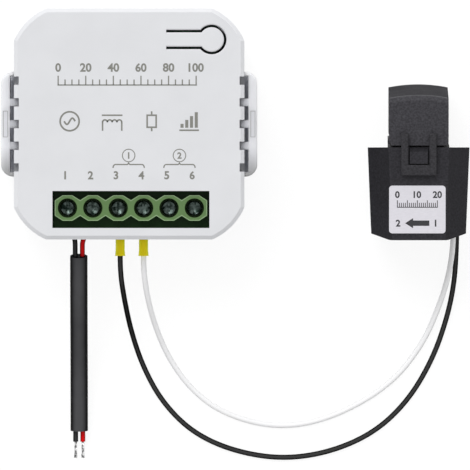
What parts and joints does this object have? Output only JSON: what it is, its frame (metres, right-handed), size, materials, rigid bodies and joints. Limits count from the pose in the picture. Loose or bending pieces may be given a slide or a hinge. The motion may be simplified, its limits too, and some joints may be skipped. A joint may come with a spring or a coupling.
{
  "type": "power clamp energy meter module",
  "caption": "Flush energy meter module with screw terminals, push button, rail clip, short supply cable and a split-core current clamp on two leads.",
  "frame": {"origin": "middle of the clip bracket's back pad, on the surface the module lies on", "axes": "+Z out of the module's face, +Y from the terminals towards the opposite edge, +X from the module towards the current clamp"},
  "size_m": [0.0937, 0.0906, 0.0255],
  "materials": {
    "cover_plastic": "fine matt moulding",
    "housing_plastic": "fine matt moulding",
    "bracket_plastic": "satin moulding",
    "latch_plastic": "satin moulding",
    "block_plastic": "glass filled moulding",
    "screw_steel": "zinc plated, dull",
    "cage_metal": "tin plated",
    "spring_steel": "bright strip",
    "circuit_board": "solder mask",
    "black_plastic": "moulded",
    "component_metal": "plain can",
    "component_blue": "dipped coat",
    "component_cream": "moulded",
    "led_resin": "clear resin",
    "sleeve_yellow": "soft sleeve",
    "tinned_copper": "tinned",
    "bare_copper": "bare strands",
    "jacket_pvc": "matt extrusion",
    "core_black": "smooth extrusion",
    "core_red": "smooth extrusion",
    "lead_white": "smooth extrusion",
    "clamp_plastic": "spark eroded moulding",
    "ferrite": "ground faces",
    "copper_wire": "enamelled winding wire",
    "label_film": "printed film"
  },
  "bodies": {
    "root": {"front_cover": "cover_plastic", "rear_housing": "housing_plastic", "rail_bracket": "bracket_plastic", "latch_spring": "spring_steel", "main_board": "circuit_board", "terminal_block": "block_plastic", "contact_bars": "tinned_copper", "tact_switch": "black_plastic", "status_led": "led_resin", "radio_board": "circuit_board", "radio_shield": "component_metal", "supply_transformer": "component_cream", "supply_capacitors": "component_metal", "surge_varistor": "component_blue", "fuse_resistor": "component_cream", "bridge_rectifier": "black_plastic", "metering_chip": "black_plastic", "burden_resistors": "black_plastic", "ferrule_sleeves": "sleeve_yellow", "ferrule_tubes": "tinned_copper", "supply_jacket": "jacket_pvc", "supply_core_black": "core_black", "supply_core_red": "core_red", "supply_strands": "bare_copper", "clamp_lead_black": "core_black", "clamp_lead_white": "lead_white", "clamp_base": "clamp_plastic", "clamp_foot": "clamp_plastic", "hinge_pin": "spring_steel", "lower_core": "ferrite", "winding_bobbin": "black_plastic", "winding": "copper_wire", "direction_label": "label_film", "lead_grommet": "black_plastic"},
    "button": {"button_tongue": "cover_plastic"},
    "switch_plunger": {"tact_plunger": "component_cream"},
    "latch": {"rail_latch": "latch_plastic"},
    "cap": {"clamp_cap": "clamp_plastic", "latch_loop": "clamp_plastic", "upper_core": "ferrite", "core_spring": "spring_steel"},
    "screw_1": {"terminal_screw_1": "screw_steel"},
    "cage_1": {"terminal_cage_1": "cage_metal"},
    "screw_2": {"terminal_screw_2": "screw_steel"},
    "cage_2": {"terminal_cage_2": "cage_metal"},
    "screw_3": {"terminal_screw_3": "screw_steel"},
    "cage_3": {"terminal_cage_3": "cage_metal"},
    "screw_4": {"terminal_screw_4": "screw_steel"},
    "cage_4": {"terminal_cage_4": "cage_metal"},
    "screw_5": {"terminal_screw_5": "screw_steel"},
    "cage_5": {"terminal_cage_5": "cage_metal"},
    "screw_6": {"terminal_screw_6": "screw_steel"},
    "cage_6": {"terminal_cage_6": "cage_metal"}
  },
  "joints": [
    {"name": "button_press", "type": "hinge", "parent": "root", "child": "button", "pos_m": [0.0074, 0.0169, 0.0222], "axis": [0, 1, 0], "range_deg": [0, 1.9]},
    {"name": "plunger_travel", "type": "slide", "parent": "root", "child": "switch_plunger", "axis": [0, 0, -1], "range_m": [0, 0.0003], "stiffness_N_per_m": 1500},
    {"name": "latch_slide", "type": "slide", "parent": "root", "child": "latch", "axis": [0, -1, 0], "range_m": [0, 0.0025], "stiffness_N_per_m": 200, "deforming": ["latch_spring"]},
    {"name": "cap_hinge", "type": "hinge", "parent": "root", "child": "cap", "pos_m": [0.05795, -0.00195, 0.0012], "axis": [-1, 0, 0], "range_deg": [0, 100], "deforming": ["latch_loop"]},
    {"name": "screw_1_turn", "type": "hinge", "parent": "root", "child": "screw_1", "pos_m": [-0.01235, -0.0168, 0.0189], "axis": [0, 0, 1], "range_deg": [0, 1401]},
    {"name": "cage_1_travel", "type": "slide", "parent": "root", "child": "cage_1", "axis": [0, 0, -1], "range_m": [0, 0.00175]},
    {"name": "screw_2_turn", "type": "hinge", "parent": "root", "child": "screw_2", "pos_m": [-0.00727, -0.0168, 0.0189], "axis": [0, 0, 1], "range_deg": [0, 1401]},
    {"name": "cage_2_travel", "type": "slide", "parent": "root", "child": "cage_2", "axis": [0, 0, -1], "range_m": [0, 0.00175]},
    {"name": "screw_3_turn", "type": "hinge", "parent": "root", "child": "screw_3", "pos_m": [-0.00219, -0.0168, 0.0189], "axis": [0, 0, 1], "range_deg": [0, 1401]},
    {"name": "cage_3_travel", "type": "slide", "parent": "root", "child": "cage_3", "axis": [0, 0, -1], "range_m": [0, 0.00175]},
    {"name": "screw_4_turn", "type": "hinge", "parent": "root", "child": "screw_4", "pos_m": [0.00289, -0.0168, 0.0189], "axis": [0, 0, 1], "range_deg": [0, 1401]},
    {"name": "cage_4_travel", "type": "slide", "parent": "root", "child": "cage_4", "axis": [0, 0, -1], "range_m": [0, 0.00175]},
    {"name": "screw_5_turn", "type": "hinge", "parent": "root", "child": "screw_5", "pos_m": [0.00797, -0.0168, 0.0189], "axis": [0, 0, 1], "range_deg": [0, 1401]},
    {"name": "cage_5_travel", "type": "slide", "parent": "root", "child": "cage_5", "axis": [0, 0, -1], "range_m": [0, 0.00175]},
    {"name": "screw_6_turn", "type": "hinge", "parent": "root", "child": "screw_6", "pos_m": [0.01305, -0.0168, 0.0189], "axis": [0, 0, 1], "range_deg": [0, 1401]},
    {"name": "cage_6_travel", "type": "slide", "parent": "root", "child": "cage_6", "axis": [0, 0, -1], "range_m": [0, 0.00175]}
  ],
  "couplings": [
    {"joint": "button_press", "follows": "plunger_travel", "rad_per_m": 109.89},
    {"joint": "screw_1_turn", "follows": "cage_1_travel", "rad_per_m": 13963},
    {"joint": "screw_2_turn", "follows": "cage_2_travel", "rad_per_m": 13963},
    {"joint": "screw_3_turn", "follows": "cage_3_travel", "rad_per_m": 13963},
    {"joint": "screw_4_turn", "follows": "cage_4_travel", "rad_per_m": 13963},
    {"joint": "screw_5_turn", "follows": "cage_5_travel", "rad_per_m": 13963},
    {"joint": "screw_6_turn", "follows": "cage_6_travel", "rad_per_m": 13963}
  ]
}
